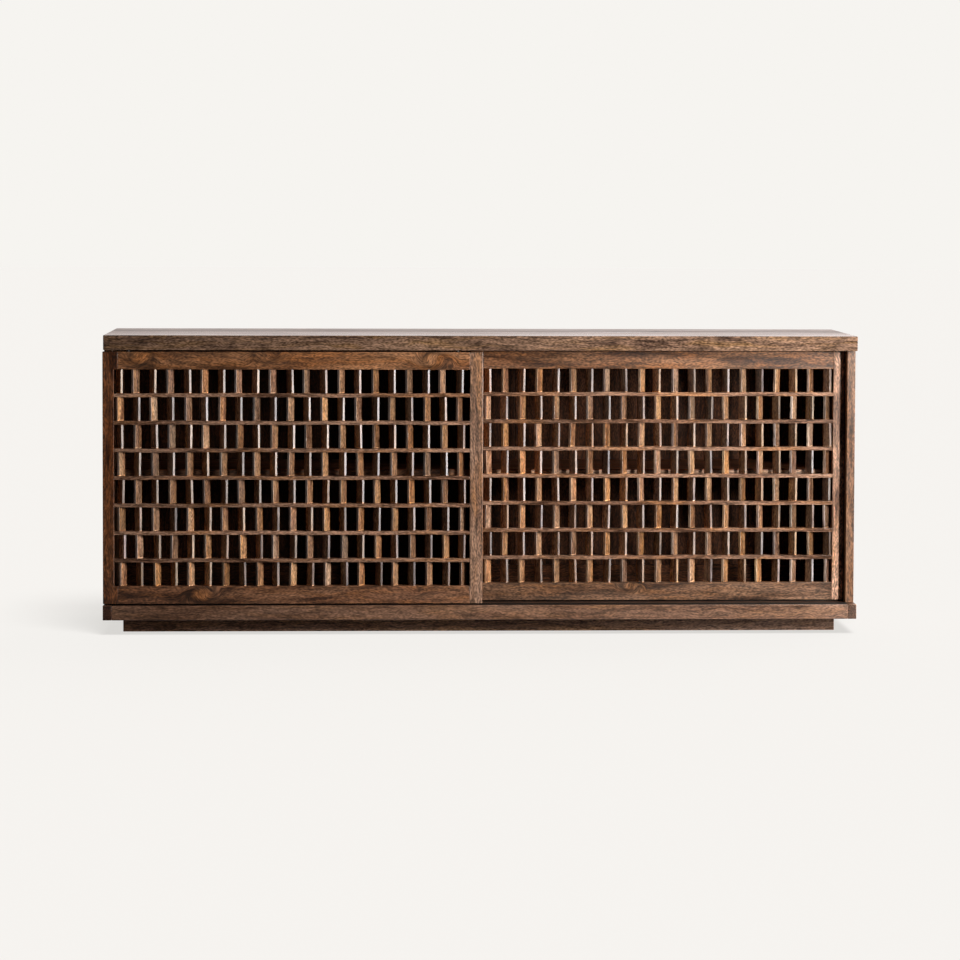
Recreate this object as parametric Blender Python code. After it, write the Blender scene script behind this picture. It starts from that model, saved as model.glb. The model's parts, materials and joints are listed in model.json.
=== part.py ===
"""A low timber credenza with two lattice doors that slide past each other.

Metres, +Z up.  The origin is on the floor, under the middle of the cabinet.
-Y is the front.  The front door covers the left half and slides to the right;
the rear door covers the right half and slides to the left behind it.
"""
from math import cos, radians, sin, tau

import bmesh
import bpy
from mathutils import Matrix, Vector

# Carcass
BASE_WIDTH = 1.800
DEPTH = 0.400
PLINTH_HEIGHT = 0.036
PLINTH_THICKNESS = 0.022
PLINTH_END_INSET = 0.0435
PLINTH_FRONT_INSET = 0.065
PLINTH_BACK_INSET = 0.040
BASE_THICKNESS = 0.035
BASE_END_WIDTH = 0.021
BASE_FRONT_RAIL_LAP = 0.011
BASE_BACK_RAIL_DEPTH = 0.060
BASE_TENON_LENGTH = 0.012
BASE_TENON_THICKNESS = 0.012
BASE_TENON_INSET = 0.015
TOP_THICKNESS = 0.035
TOP_END_SETBACK = 0.0025
SIDE_THICKNESS = 0.020
FLOOR_THICKNESS = 0.020
FLOOR_TONGUE_LENGTH = 0.008
FLOOR_TONGUE_THICKNESS = 0.008
BACK_THICKNESS = 0.012
BACK_INSET = 0.010
BACK_HOUSING = 0.008
BATTEN_THICKNESS = 0.018
BATTEN_HEIGHT = 0.052
DIVIDER_THICKNESS = 0.020
LOWER_COMPARTMENT_HEIGHT = 0.297
SHELF_THICKNESS = 0.020
SHELF_FRONT_SETBACK = 0.004
SHELF_HOUSING = 0.006

# Doors
DOOR_HEIGHT = 0.600
DOOR_THICKNESS = 0.025
DOOR_TOP_GAP = 0.004
DOOR_BOTTOM_GAP = 0.004
DOOR_FRONT_SETBACK = 0.003
DOOR_SPACING = 0.030
SIDE_PANEL_CLEARANCE = 0.002
SHELVING_CLEARANCE = 0.006
DOOR_END_CLEARANCE = 0.0005
REAR_DOOR_END_CLEARANCE = 0.002
FRONT_DOOR_PAST_CENTRE = 0.0015
DOOR_OVERLAP = 0.0265
END_STILE_WIDTH = 0.0265
END_STILE_CUT_BACK = 0.0095
MEETING_STILE_WIDTH = 0.030
RAIL_HEIGHT = 0.042
RAIL_TENON_LENGTH = 0.018
RAIL_TENON_THICKNESS = 0.009
RAIL_TENON_SHOULDER = 0.008

# Lattice
LATTICE_ROWS = 8
SLATS_PER_ROW = 21
SLAT_ANGLE = radians(35.0)
SLAT_THICKNESS = 0.0063
CROSS_SLAT_THICKNESS = 0.008
LATTICE_SETBACK = 0.0005
SLAT_INSET = 0.0008
FRONT_LATTICE_MARGIN = 0.018
REAR_LATTICE_MARGIN = 0.012
CROSS_SLAT_STUB_LENGTH = 0.006
CROSS_SLAT_STUB_DEPTH = 0.012
SLAT_EMBED = 0.002

# Sliding hardware
TRACK_WIDTH = 0.016
TRACK_THICKNESS = 0.001
TRACK_RIB_WIDTH = 0.003
TRACK_RIB_HEIGHT = 0.0015
FRONT_TRACK_END_INSET = 0.022
WHEEL_GROOVE_RADIUS = 0.0100
WHEEL_RIB_CLEARANCE = 0.0004
WHEEL_FLANGE_WIDTH = 0.0018
WHEEL_FLANGE_CLEARANCE = 0.0006
AXLE_RADIUS = 0.002
HOUSING_WALL = 0.0015
HOUSING_END_ROOM = 0.0068
ROLLER_INSET = 0.090
PIN_RADIUS = 0.004
PIN_SEAT_DEPTH = 0.020
PIN_REACH = 0.009
PIN_INSET = 0.060
PIN_RUNNING_GAP = 0.0005
GUIDE_GROOVE_HEADROOM = 0.002

# Small shared sizes
FIT_GAP = 0.0003
EDGE_EASE = 0.0010
ROUND_SEGMENTS = 24

# Finishes: linear colour, roughness, metallic
FRAME_WOOD = ((0.085, 0.040, 0.021), 0.48, 0.0)
TOP_WOOD = ((0.075, 0.042, 0.027), 0.42, 0.0)
END_GRAIN_WOOD = ((0.048, 0.027, 0.018), 0.60, 0.0)
SLAT_WOOD = ((0.170, 0.085, 0.045), 0.50, 0.0)
INNER_WOOD = ((0.095, 0.050, 0.028), 0.60, 0.0)
PLINTH_WOOD = ((0.050, 0.026, 0.016), 0.60, 0.0)
STEEL = ((0.270, 0.260, 0.250), 0.40, 1.0)
NYLON = ((0.030, 0.029, 0.028), 0.45, 0.0)

# Levels and planes worked out from the sizes above
Z_BASE_TOP = PLINTH_HEIGHT + BASE_THICKNESS
Z_DOOR_BOTTOM = Z_BASE_TOP + DOOR_BOTTOM_GAP
Z_DOOR_TOP = Z_DOOR_BOTTOM + DOOR_HEIGHT
Z_TOP_UNDERSIDE = Z_DOOR_TOP + DOOR_TOP_GAP
Z_TOP = Z_TOP_UNDERSIDE + TOP_THICKNESS
Z_LATTICE_BOTTOM = Z_DOOR_BOTTOM + RAIL_HEIGHT
Z_LATTICE_TOP = Z_DOOR_TOP - RAIL_HEIGHT

X_BASE_END = BASE_WIDTH / 2
X_BASE_RAIL_END = X_BASE_END - BASE_END_WIDTH
X_SIDE_OUTER = X_BASE_END - TOP_END_SETBACK
X_SIDE_INNER = X_SIDE_OUTER - SIDE_THICKNESS
X_DIVIDER = DIVIDER_THICKNESS / 2

Y_FRONT = -DEPTH / 2
Y_BACK = DEPTH / 2
Y_FRONT_DOOR = Y_FRONT + DOOR_FRONT_SETBACK
Y_SIDE_FRONT = Y_FRONT_DOOR + DOOR_THICKNESS + SIDE_PANEL_CLEARANCE
Y_REAR_DOOR = Y_FRONT_DOOR + DOOR_THICKNESS + DOOR_SPACING
Y_SHELVING = Y_REAR_DOOR + DOOR_THICKNESS + SHELVING_CLEARANCE
Y_BASE_FRONT_RAIL = Y_SHELVING + BASE_FRONT_RAIL_LAP
Y_BASE_BACK_RAIL = Y_BACK - BASE_BACK_RAIL_DEPTH
Y_BACK_PANEL = Y_BACK - BACK_INSET - BACK_THICKNESS

# The doors' ends and how far each one slides
FRONT_DOOR_LEFT = -X_BASE_END + DOOR_END_CLEARANCE
FRONT_DOOR_RIGHT = FRONT_DOOR_PAST_CENTRE
FRONT_DOOR_TRAVEL = X_BASE_END - DOOR_END_CLEARANCE - FRONT_DOOR_RIGHT
REAR_DOOR_LEFT = FRONT_DOOR_RIGHT - DOOR_OVERLAP
REAR_DOOR_RIGHT = X_SIDE_INNER - REAR_DOOR_END_CLEARANCE
REAR_DOOR_TRAVEL = REAR_DOOR_LEFT + X_SIDE_INNER - REAR_DOOR_END_CLEARANCE

# Lattice sizes: a turned slat reaches almost to the front and back edges of the cross slats
TURNED_DEPTH = DOOR_THICKNESS - 2 * (LATTICE_SETBACK + SLAT_INSET)
SLAT_DEPTH = (TURNED_DEPTH - SLAT_THICKNESS * sin(SLAT_ANGLE)) / cos(SLAT_ANGLE)
CROSS_SLATS = LATTICE_ROWS - 1
LATTICE_HEIGHT = Z_LATTICE_TOP - Z_LATTICE_BOTTOM
ROW_HEIGHT = (LATTICE_HEIGHT - CROSS_SLATS * CROSS_SLAT_THICKNESS) / LATTICE_ROWS
ROW_PITCH = ROW_HEIGHT + CROSS_SLAT_THICKNESS

# Roller sizes: the wheel's groove straddles the track's rib, and its flanges clear the track's plate
Z_RIB_TOP = Z_BASE_TOP + FIT_GAP + TRACK_THICKNESS + TRACK_RIB_HEIGHT
Z_AXLE = Z_RIB_TOP + FIT_GAP + WHEEL_GROOVE_RADIUS
WHEEL_RADIUS = WHEEL_GROOVE_RADIUS + FIT_GAP + TRACK_RIB_HEIGHT - WHEEL_FLANGE_CLEARANCE
GROOVE_FLOOR_HALF = TRACK_RIB_WIDTH / 2 + WHEEL_RIB_CLEARANCE
GROOVE_MOUTH_HALF = GROOVE_FLOOR_HALF + (WHEEL_RADIUS - WHEEL_GROOVE_RADIUS) / 2
WHEEL_WIDTH = 2 * (GROOVE_MOUTH_HALF + WHEEL_FLANGE_WIDTH)
HOUSING_LENGTH = 2 * (WHEEL_RADIUS + HOUSING_END_ROOM)
HOUSING_INNER_WIDTH = WHEEL_WIDTH + 2 * FIT_GAP
HOUSING_WIDTH = HOUSING_INNER_WIDTH + 2 * HOUSING_WALL
Z_HOUSING_CEILING = Z_AXLE + WHEEL_RADIUS + FIT_GAP
Z_HOUSING_TOP = Z_HOUSING_CEILING + HOUSING_WALL


def clear_scene():
    """Remove whatever the scene starts with."""
    for item in list(bpy.data.objects):
        bpy.data.objects.remove(item, do_unlink=True)


def box_into(bm, low, high):
    """Add a box between two corners to a bmesh and return its vertices."""
    low = Vector(low)
    high = Vector(high)
    placed = Matrix.Translation((low + high) / 2) @ Matrix.Diagonal((*(high - low), 1.0))
    return bmesh.ops.create_cube(bm, size=1.0, matrix=placed)["verts"]


def object_from(name, bm, centre, parent=None):
    """Make an object whose mesh was drawn in world places, with its origin at centre."""
    bmesh.ops.translate(bm, verts=bm.verts, vec=-Vector(centre))
    mesh = bpy.data.meshes.new(name)
    bm.to_mesh(mesh)
    bm.free()
    piece = bpy.data.objects.new(name, mesh)
    bpy.context.scene.collection.objects.link(piece)
    piece.location = centre
    if parent is not None:
        piece.parent = parent
        piece.location = Vector(centre) - parent.location
    return piece


def give_finish(piece, finish):
    """Give a piece its own material."""
    colour, roughness, metallic = finish
    material = bpy.data.materials.new(piece.name + "_finish")
    material.use_nodes = True
    shader = material.node_tree.nodes["Principled BSDF"]
    shader.inputs["Base Color"].default_value = (*colour, 1.0)
    shader.inputs["Roughness"].default_value = roughness
    shader.inputs["Metallic"].default_value = metallic
    material.diffuse_color = (*colour, 1.0)
    piece.data.materials.append(material)


def board(name, low, high, finish, parent=None, ease=EDGE_EASE):
    """A board between two corners, with its edges eased."""
    bm = bmesh.new()
    box_into(bm, low, high)
    if ease > 0:
        bmesh.ops.bevel(bm, geom=bm.edges, offset=ease, affect="EDGES", segments=1, profile=0.5,
                        material=-1)
    piece = object_from(name, bm, (Vector(low) + Vector(high)) / 2, parent)
    give_finish(piece, finish)
    return piece


def combine(piece, bm, operation):
    """Cut a drawn shape out of a piece, or join it on, with a Boolean."""
    tool = object_from(f"{piece.name}_{operation.lower()}_{len(piece.modifiers)}", bm, (0, 0, 0))
    tool.hide_render = True
    tool.display_type = "WIRE"
    modifier = piece.modifiers.new(operation.lower(), "BOOLEAN")
    modifier.operation = operation
    modifier.solver = "EXACT"
    modifier.object = tool


def cut_boxes(piece, boxes, gap=0.0):
    """Cut boxes, each grown by the gap on every side, out of a piece."""
    bm = bmesh.new()
    grow = Vector((gap, gap, gap))
    for low, high in boxes:
        box_into(bm, Vector(low) - grow, Vector(high) + grow)
    combine(piece, bm, "DIFFERENCE")


def join_boxes(piece, boxes):
    """Join boxes, such as tenons, to a piece that they reach into."""
    bm = bmesh.new()
    for low, high in boxes:
        box_into(bm, low, high)
    combine(piece, bm, "UNION")


def rod_into(bm, start, end, radius):
    """Add a straight rod between two points to a bmesh."""
    start = Vector(start)
    end = Vector(end)
    along = end - start
    turned = Vector((0, 0, 1)).rotation_difference(along).to_matrix().to_4x4()
    placed = Matrix.Translation((start + end) / 2) @ turned
    bmesh.ops.create_cone(bm, cap_ends=True, segments=ROUND_SEGMENTS, radius1=radius, radius2=radius,
                          depth=along.length, matrix=placed)


def cut_rods(piece, rods, radius):
    """Cut round holes along the given lines out of a piece."""
    bm = bmesh.new()
    for start, end in rods:
        rod_into(bm, start, end, radius)
    combine(piece, bm, "DIFFERENCE")


def smooth(piece):
    """Shade a round piece smooth, with its rims left sharp."""
    piece.data.shade_smooth()
    piece.data.set_sharp_from_angle(angle=radians(40.0))


def empty(name, place):
    """An empty that carries the pieces of one moving body."""
    holder = bpy.data.objects.new(name, None)
    bpy.context.scene.collection.objects.link(holder)
    holder.location = place
    return holder


def mirrored(box):
    """The same box on the other side of the cabinet's middle."""
    (x0, y0, z0), (x1, y1, z1) = box
    return (-x1, y0, z0), (-x0, y1, z1)


def build_plinth():
    """Recessed plinth: long boards at the front and back, three short ones between them."""
    x_end = X_BASE_END - PLINTH_END_INSET
    y_front = Y_FRONT + PLINTH_FRONT_INSET
    y_back = Y_BACK - PLINTH_BACK_INSET
    z_top = PLINTH_HEIGHT - FIT_GAP
    board("plinth_front", (-x_end, y_front, 0), (x_end, y_front + PLINTH_THICKNESS, z_top), PLINTH_WOOD)
    board("plinth_back", (-x_end, y_back - PLINTH_THICKNESS, 0), (x_end, y_back, z_top), PLINTH_WOOD)
    right = ((x_end - PLINTH_THICKNESS, y_front + PLINTH_THICKNESS + FIT_GAP, 0),
             (x_end, y_back - PLINTH_THICKNESS - FIT_GAP, z_top))
    board("plinth_side_right", *right, PLINTH_WOOD)
    board("plinth_side_left", *mirrored(right), PLINTH_WOOD)
    half = PLINTH_THICKNESS / 2
    board("plinth_centre_brace", (-half, right[0][1], 0), (half, right[1][1], z_top), PLINTH_WOOD)


def base_tenon(y_low, y_high):
    """The right-hand tenon of a base rail that lies between two depths."""
    z_middle = Z_BASE_TOP - BASE_THICKNESS / 2
    half = BASE_TENON_THICKNESS / 2
    return ((X_BASE_RAIL_END, y_low + BASE_TENON_INSET, z_middle - half),
            (X_BASE_RAIL_END + BASE_TENON_LENGTH, y_high - BASE_TENON_INSET, z_middle + half))


def with_root(tenon):
    """A right-hand tenon lengthened back into its own rail, so that the two join."""
    (x0, y0, z0), high = tenon
    return (x0 - BASE_TENON_LENGTH, y0, z0), high


def build_base():
    """Base slab: a framed floor whose end rails show their end grain at the front."""
    x_rail = X_BASE_RAIL_END - FIT_GAP
    z_tongue = Z_BASE_TOP - FLOOR_THICKNESS / 2
    reach = FLOOR_TONGUE_LENGTH
    half_tongue = FLOOR_TONGUE_THICKNESS / 2
    tongue = ((-x_rail - reach, Y_BASE_FRONT_RAIL - reach, z_tongue - half_tongue),
              (x_rail + reach, Y_BASE_BACK_RAIL + reach, z_tongue + half_tongue))
    front_tenon = base_tenon(Y_FRONT, Y_BASE_FRONT_RAIL)
    back_tenon = base_tenon(Y_BASE_BACK_RAIL, Y_BACK)

    front_rail = board("base_front_rail", (-x_rail, Y_FRONT, PLINTH_HEIGHT),
                       (x_rail, Y_BASE_FRONT_RAIL, Z_BASE_TOP), FRAME_WOOD)
    back_rail = board("base_back_rail", (-x_rail, Y_BASE_BACK_RAIL, PLINTH_HEIGHT),
                      (x_rail, Y_BACK, Z_BASE_TOP), FRAME_WOOD)
    for rail, tenon in ((front_rail, front_tenon), (back_rail, back_tenon)):
        rooted = with_root(tenon)
        join_boxes(rail, [rooted, mirrored(rooted)])
        cut_boxes(rail, [tongue], FIT_GAP)

    end = ((X_BASE_RAIL_END, Y_FRONT, PLINTH_HEIGHT), (X_BASE_END, Y_BACK, Z_BASE_TOP))
    right = board("base_side_rail_right", *end, END_GRAIN_WOOD)
    left = board("base_side_rail_left", *mirrored(end), END_GRAIN_WOOD)
    cut_boxes(right, [front_tenon, back_tenon, tongue], FIT_GAP)
    cut_boxes(left, [mirrored(front_tenon), mirrored(back_tenon), tongue], FIT_GAP)

    floor = board("cabinet_floor", (-x_rail, Y_BASE_FRONT_RAIL + FIT_GAP, Z_BASE_TOP - FLOOR_THICKNESS),
                  (x_rail, Y_BASE_BACK_RAIL - FIT_GAP, Z_BASE_TOP), INNER_WOOD)
    join_boxes(floor, [tongue])


def build_carcass():
    """Side panels, back, divider and shelves, standing on the base."""
    z_low = Z_BASE_TOP + FIT_GAP
    z_high = Z_TOP_UNDERSIDE - FIT_GAP
    x_back = X_SIDE_INNER + BACK_HOUSING
    back = ((-x_back, Y_BACK_PANEL, z_low), (x_back, Y_BACK_PANEL + BACK_THICKNESS, z_high))
    y_inner_back = Y_BACK_PANEL - FIT_GAP
    z_shelf = Z_BASE_TOP + LOWER_COMPARTMENT_HEIGHT
    shelf = ((X_DIVIDER - SHELF_HOUSING, Y_SHELVING + SHELF_FRONT_SETBACK, z_shelf),
             (X_SIDE_INNER + SHELF_HOUSING, y_inner_back, z_shelf + SHELF_THICKNESS))

    side = ((X_SIDE_INNER, Y_SIDE_FRONT, z_low), (X_SIDE_OUTER, Y_BACK, z_high))
    right = board("side_panel_right", *side, FRAME_WOOD)
    left = board("side_panel_left", *mirrored(side), FRAME_WOOD)
    cut_boxes(right, [shelf], FIT_GAP)
    cut_boxes(left, [mirrored(shelf)], FIT_GAP)
    for panel in (right, left):
        cut_boxes(panel, [back], FIT_GAP)

    divider = board("centre_divider", (-X_DIVIDER, Y_SHELVING, z_low), (X_DIVIDER, y_inner_back, z_high),
                    INNER_WOOD)
    cut_boxes(divider, [shelf, mirrored(shelf)], FIT_GAP)
    board("back_panel", *back, INNER_WOOD, ease=0)
    board("shelf_right", *shelf, INNER_WOOD)
    board("shelf_left", *mirrored(shelf), INNER_WOOD)

    batten = ((X_DIVIDER + FIT_GAP, y_inner_back - BATTEN_THICKNESS, z_low),
              (X_SIDE_INNER - FIT_GAP, y_inner_back, z_low + BATTEN_HEIGHT))
    board("back_batten_right", *batten, INNER_WOOD)
    board("back_batten_left", *mirrored(batten), INNER_WOOD)


def groove_for(pin_places, travel, y_middle):
    """The groove under the top that a door's guide pins run in."""
    room = PIN_RADIUS + PIN_RUNNING_GAP
    x_low = min(pin_places) + min(travel, 0) - room
    x_high = max(pin_places) + max(travel, 0) + room
    z_high = Z_DOOR_TOP + PIN_REACH + GUIDE_GROOVE_HEADROOM
    below = Z_TOP_UNDERSIDE - DOOR_TOP_GAP
    return (x_low, y_middle - room, below), (x_high, y_middle + room, z_high)


def build_top():
    """Top slab, with a guide groove for each door in its underside."""
    top = board("top_panel", (-X_SIDE_OUTER, Y_FRONT, Z_TOP_UNDERSIDE), (X_SIDE_OUTER, Y_BACK, Z_TOP),
                TOP_WOOD)
    front_pins = (FRONT_DOOR_LEFT + PIN_INSET, FRONT_DOOR_RIGHT - PIN_INSET)
    rear_pins = (REAR_DOOR_LEFT + PIN_INSET, REAR_DOOR_RIGHT - PIN_INSET)
    half = DOOR_THICKNESS / 2
    cut_boxes(top, [groove_for(front_pins, FRONT_DOOR_TRAVEL, Y_FRONT_DOOR + half),
                    groove_for(rear_pins, -REAR_DOOR_TRAVEL, Y_REAR_DOOR + half)])


def build_track(name, x_end, y_middle):
    """A flat steel track with a rib along its middle for the wheels."""
    z_low = Z_BASE_TOP + FIT_GAP
    z_plate = z_low + TRACK_THICKNESS
    half = TRACK_WIDTH / 2
    track = board(name, (-x_end, y_middle - half, z_low), (x_end, y_middle + half, z_plate), STEEL, ease=0)
    rib = TRACK_RIB_WIDTH / 2
    join_boxes(track, [((-x_end, y_middle - rib, z_low), (x_end, y_middle + rib, Z_RIB_TOP))])


def rail_tenons(x_low, x_high, y_middle, z_low, z_high):
    """Where a rail's two tenons lie, past its shoulders and into the stiles."""
    half = RAIL_TENON_THICKNESS / 2
    y_pair = (y_middle - half, y_middle + half)
    z_pair = (z_low + RAIL_TENON_SHOULDER, z_high - RAIL_TENON_SHOULDER)
    left = ((x_low - RAIL_TENON_LENGTH, y_pair[0], z_pair[0]), (x_low, y_pair[1], z_pair[1]))
    right = ((x_high, y_pair[0], z_pair[0]), (x_high + RAIL_TENON_LENGTH, y_pair[1], z_pair[1]))
    return left, right


def cross_slat_stubs(x_low, x_high, y_middle, z_low, z_high):
    """Where a cross slat's two stub ends lie in the stiles."""
    half = CROSS_SLAT_STUB_DEPTH / 2
    reach = CROSS_SLAT_STUB_LENGTH
    left = ((x_low - reach, y_middle - half, z_low), (x_low, y_middle + half, z_high))
    right = ((x_high, y_middle - half, z_low), (x_high + reach, y_middle + half, z_high))
    return left, right


def rooted_pair(pair, root):
    """Two end tenons lengthened inwards, so that they join their own piece."""
    (left_low, left_high), (right_low, right_high) = pair
    inward = Vector((root, 0, 0))
    return [(left_low, Vector(left_high) + inward), (Vector(right_low) - inward, right_high)]


def cross_slat_level(number):
    """Bottom and top of a cross slat, numbered from 1 at the top of the door."""
    z_high = Z_LATTICE_TOP - number * ROW_PITCH + CROSS_SLAT_THICKNESS
    return z_high - CROSS_SLAT_THICKNESS, z_high


def turned_slats_into(bm, row, slat_places, y_middle, z_low, z_high):
    """Draw one row of upright slats, turned left and right in turn."""
    half = Vector((SLAT_THICKNESS / 2, SLAT_DEPTH / 2, 0))
    for number, x in enumerate(slat_places):
        lean = SLAT_ANGLE if (row + number) % 2 else -SLAT_ANGLE
        verts = box_into(bm, (-half.x, -half.y, z_low), (half.x, half.y, z_high))
        placed = Matrix.Translation((x, y_middle, 0)) @ Matrix.Rotation(lean, 4, "Z")
        bmesh.ops.transform(bm, matrix=placed, verts=verts)


def build_lattice(side, door, x_low, x_high, y_door, margin):
    """Cross slats between the stiles; every second one carries the rows above and below it.

    An odd last row hangs from the lowest cross slat.
    """
    y_middle = y_door + DOOR_THICKNESS / 2
    pitch = (x_high - x_low - 2 * margin) / (SLATS_PER_ROW - 1)
    places = [x_low + margin + number * pitch for number in range(SLATS_PER_ROW)]
    stubs = []
    for number in range(1, CROSS_SLATS + 1):
        z_low, z_high = cross_slat_level(number)
        row_above = number % 2 == 1
        row_below = row_above or number == CROSS_SLATS
        name = f"{side}_lattice_{'comb' if row_below else 'cross_slat'}_{number}"
        slat = board(name, (x_low + FIT_GAP, y_door + LATTICE_SETBACK, z_low),
                     (x_high - FIT_GAP, y_door + DOOR_THICKNESS - LATTICE_SETBACK, z_high),
                     SLAT_WOOD, door, ease=0)
        pair = cross_slat_stubs(x_low, x_high, y_middle, z_low + FIT_GAP, z_high - FIT_GAP)
        join_boxes(slat, rooted_pair(pair, CROSS_SLAT_STUB_LENGTH))
        stubs.append(pair)
        if row_below:
            bm = bmesh.new()
            turned_slats_into(bm, number + 1, places, y_middle, z_low - ROW_HEIGHT + FIT_GAP,
                              z_low + SLAT_EMBED)
            if row_above:
                turned_slats_into(bm, number, places, y_middle, z_high - SLAT_EMBED,
                                  z_high + ROW_HEIGHT - FIT_GAP)
            combine(slat, bm, "UNION")
    return stubs


def roller_cavity(x, y_middle):
    """The pocket in a bottom rail that a roller's housing fills."""
    half = Vector((HOUSING_LENGTH / 2, HOUSING_WIDTH / 2, 0))
    return ((x - half.x, y_middle - half.y, Z_DOOR_BOTTOM - RAIL_HEIGHT),
            (x + half.x, y_middle + half.y, Z_HOUSING_TOP))


def build_roller(side, end, door, x, y_middle):
    """A grooved wheel on an axle, in a folded steel housing let into the rail."""
    half_length = HOUSING_LENGTH / 2
    half_width = HOUSING_WIDTH / 2
    half_inner = HOUSING_INNER_WIDTH / 2
    housing = board(f"{side}_roller_housing_{end}", (x - half_length, y_middle - half_width, Z_DOOR_BOTTOM),
                    (x + half_length, y_middle + half_width, Z_HOUSING_TOP), STEEL, door, ease=0)
    cut_boxes(housing, [((x - HOUSING_LENGTH, y_middle - half_inner, Z_DOOR_BOTTOM - HOUSING_LENGTH),
                         (x + HOUSING_LENGTH, y_middle + half_inner, Z_HOUSING_CEILING))])
    through = ((x, y_middle - HOUSING_WIDTH, Z_AXLE), (x, y_middle + HOUSING_WIDTH, Z_AXLE))
    cut_rods(housing, [through], AXLE_RADIUS + FIT_GAP)

    bm = bmesh.new()
    rod_into(bm, (x, y_middle - half_width, Z_AXLE), (x, y_middle + half_width, Z_AXLE), AXLE_RADIUS)
    axle = object_from(f"{side}_roller_axle_{end}", bm, (x, y_middle, Z_AXLE), door)
    give_finish(axle, STEEL)
    smooth(axle)

    bm = bmesh.new()
    half_wheel = WHEEL_WIDTH / 2
    bore = AXLE_RADIUS + FIT_GAP
    outline = ((-half_wheel, bore), (half_wheel, bore),
               (half_wheel, WHEEL_RADIUS), (GROOVE_MOUTH_HALF, WHEEL_RADIUS),
               (GROOVE_FLOOR_HALF, WHEEL_GROOVE_RADIUS), (-GROOVE_FLOOR_HALF, WHEEL_GROOVE_RADIUS),
               (-GROOVE_MOUTH_HALF, WHEEL_RADIUS), (-half_wheel, WHEEL_RADIUS))
    verts = [bm.verts.new((x, y_middle + along, Z_AXLE + radius)) for along, radius in outline]
    edges = [bm.edges.new((verts[i - 1], verts[i])) for i in range(len(verts))]
    bmesh.ops.spin(bm, geom=verts + edges, cent=(x, y_middle, Z_AXLE), axis=(0, 1, 0), angle=tau,
                   steps=ROUND_SEGMENTS, use_merge=True)
    bmesh.ops.recalc_face_normals(bm, faces=bm.faces)
    wheel = object_from(f"{side}_roller_wheel_{end}", bm, (x, y_middle, Z_AXLE), door)
    give_finish(wheel, NYLON)
    smooth(wheel)


def build_pin(side, end, door, x, y_middle):
    """A round guide pin that stands up from the top rail into the groove above."""
    bm = bmesh.new()
    z_low = Z_DOOR_TOP - PIN_SEAT_DEPTH
    z_high = Z_DOOR_TOP + PIN_REACH
    rod_into(bm, (x, y_middle, z_low), (x, y_middle, z_high), PIN_RADIUS)
    pin = object_from(f"{side}_guide_pin_{end}", bm, (x, y_middle, (z_low + z_high) / 2), door)
    give_finish(pin, NYLON)
    smooth(pin)


def build_door(side, x_left, x_right, y_door, stiles, cut_backs, margin):
    """A framed lattice door.

    stiles gives the left and right stile's width beside the lattice, and cut_backs how much
    wider each one stays where it meets the rails.
    """
    door = empty(f"{side}_door", (x_left, y_door, Z_DOOR_BOTTOM))
    y_back = y_door + DOOR_THICKNESS
    y_middle = y_door + DOOR_THICKNESS / 2
    x_lattice = (x_left + stiles[0], x_right - stiles[1])
    x_shoulder = (x_lattice[0] + cut_backs[0], x_lattice[1] - cut_backs[1])
    rail_levels = {"top": (Z_LATTICE_TOP, Z_DOOR_TOP), "bottom": (Z_DOOR_BOTTOM, Z_LATTICE_BOTTOM)}

    stubs = build_lattice(side, door, *x_lattice, y_door, margin)
    rails = {}
    tenons = []
    for level, (z_low, z_high) in rail_levels.items():
        rails[level] = board(f"{side}_door_rail_{level}", (x_shoulder[0] + FIT_GAP, y_door, z_low),
                             (x_shoulder[1] - FIT_GAP, y_back, z_high), FRAME_WOOD, door)
        pair = rail_tenons(*x_shoulder, y_middle, z_low, z_high)
        join_boxes(rails[level], rooted_pair(pair, RAIL_TENON_LENGTH))
        tenons.append(pair)

    for hand, end in enumerate(("left", "right")):
        x_pair = (x_left, x_shoulder[0]) if hand == 0 else (x_shoulder[1], x_right)
        stile = board(f"{side}_door_stile_{end}", (x_pair[0], y_door, Z_DOOR_BOTTOM),
                      (x_pair[1], y_back, Z_DOOR_TOP), FRAME_WOOD, door)
        if cut_backs[hand] > 0:
            cut_boxes(stile, [((x_lattice[0], y_door - DOOR_THICKNESS, Z_LATTICE_BOTTOM),
                               (x_lattice[1], y_back + DOOR_THICKNESS, Z_LATTICE_TOP))])
        cut_boxes(stile, [pair[hand] for pair in tenons], FIT_GAP)
        cut_boxes(stile, [pair[hand] for pair in stubs], FIT_GAP)

    roller_places = {"left": x_left + ROLLER_INSET, "right": x_right - ROLLER_INSET}
    pin_places = {"left": x_left + PIN_INSET, "right": x_right - PIN_INSET}
    cut_boxes(rails["bottom"], [roller_cavity(x, y_middle) for x in roller_places.values()], FIT_GAP)
    pin_holes = [((x, y_middle, Z_DOOR_TOP - PIN_SEAT_DEPTH - FIT_GAP), (x, y_middle, Z_TOP))
                 for x in pin_places.values()]
    cut_rods(rails["top"], pin_holes, PIN_RADIUS + FIT_GAP)
    for end in ("left", "right"):
        build_roller(side, end, door, roller_places[end], y_middle)
        build_pin(side, end, door, pin_places[end], y_middle)


def main():
    clear_scene()
    build_plinth()
    build_base()
    build_carcass()
    build_top()
    half = DOOR_THICKNESS / 2
    build_track("bottom_track_front", X_BASE_END - FRONT_TRACK_END_INSET, Y_FRONT_DOOR + half)
    build_track("bottom_track_rear", X_SIDE_INNER - FIT_GAP, Y_REAR_DOOR + half)
    build_door("front", FRONT_DOOR_LEFT, FRONT_DOOR_RIGHT, Y_FRONT_DOOR,
               (END_STILE_WIDTH, MEETING_STILE_WIDTH), (END_STILE_CUT_BACK, 0), FRONT_LATTICE_MARGIN)
    build_door("rear", REAR_DOOR_LEFT, REAR_DOOR_RIGHT, Y_REAR_DOOR,
               (MEETING_STILE_WIDTH, END_STILE_WIDTH), (0, 0), REAR_LATTICE_MARGIN)


main()
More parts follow.
